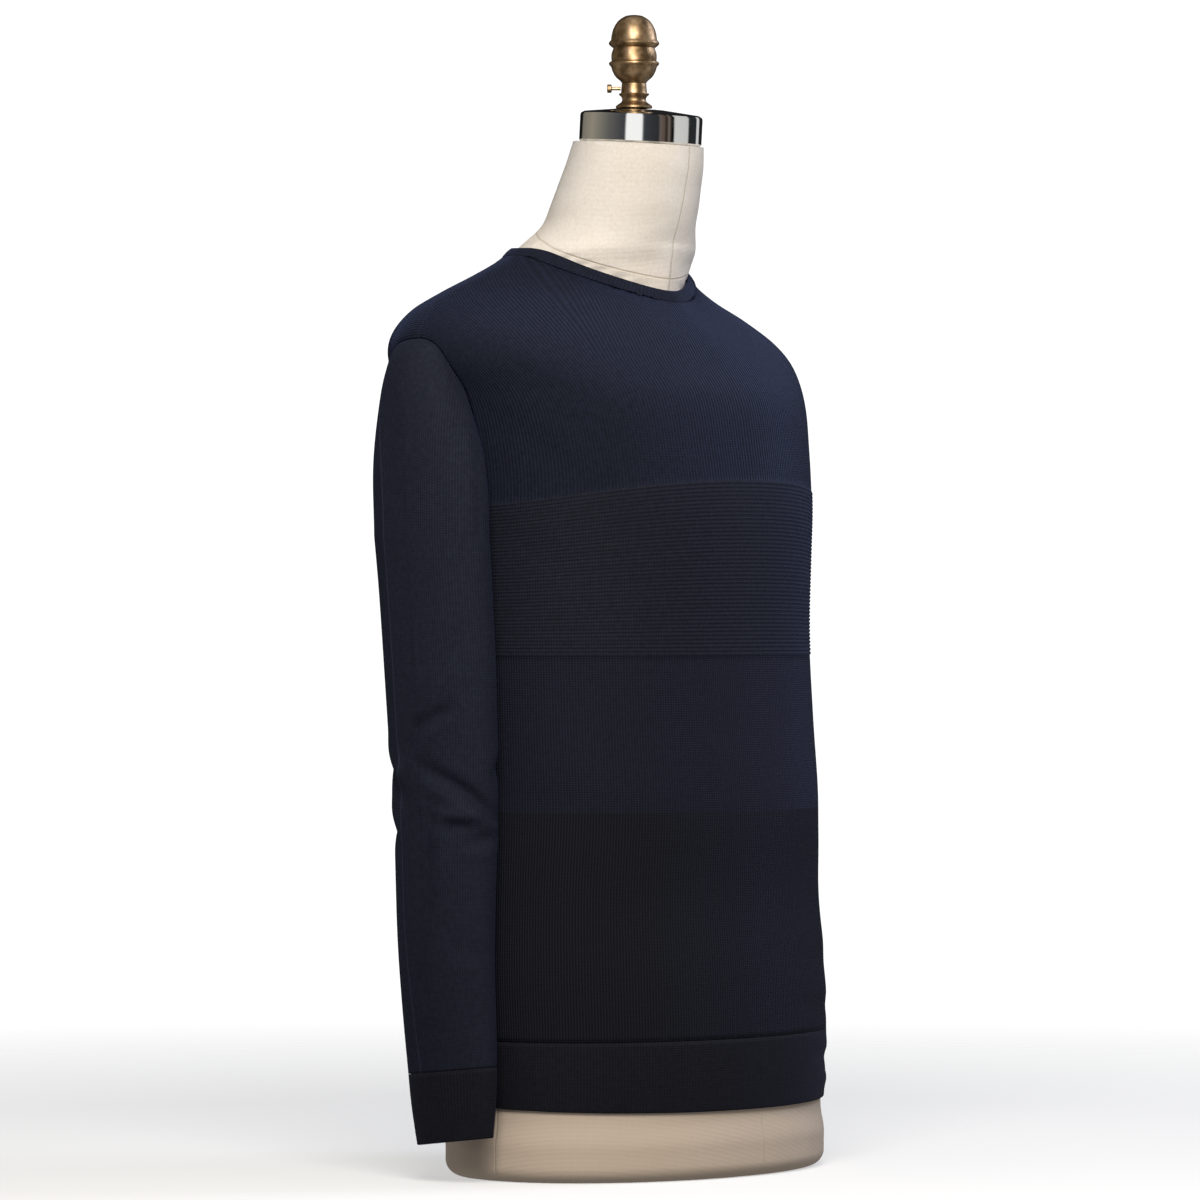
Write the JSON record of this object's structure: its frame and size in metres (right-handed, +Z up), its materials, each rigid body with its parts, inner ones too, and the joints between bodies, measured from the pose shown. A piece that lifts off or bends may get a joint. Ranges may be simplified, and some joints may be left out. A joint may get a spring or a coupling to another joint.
{
  "type": "crewneck sweater on a limbless dress form",
  "caption": "Long-sleeved navy crewneck sweater with a ribbed yoke, ridged chest band and plain cuffs, worn on a limbless canvas dress form with a metal neck cap and finial.",
  "frame": {"origin": "centre of the dress form's flat base, on the surface that it stands on", "axes": "+Z up through the neck, -Y out of the chest, so -X is the wearer's right"},
  "size_m": [0.4826, 0.2783, 0.9225],
  "materials": {
    "rib_knit": "fine ribbed knit",
    "jersey_knit": "fine plain knit",
    "band_knit": "fine plain knit",
    "canvas": "matt woven canvas",
    "chrome": "polished",
    "brass": "aged, satin"
  },
  "bodies": {
    "root": {"front": "rib_knit", "back": "rib_knit", "sleeve_right": "jersey_knit", "sleeve_left": "jersey_knit", "cuff_right": "band_knit", "cuff_left": "band_knit", "hem_front": "band_knit", "hem_back": "band_knit", "neckband": "band_knit", "form_body": "canvas", "neck_cap": "chrome", "finial_base": "brass", "finial_knob": "brass", "finial_screw": "brass"}
  },
  "joints": []
}
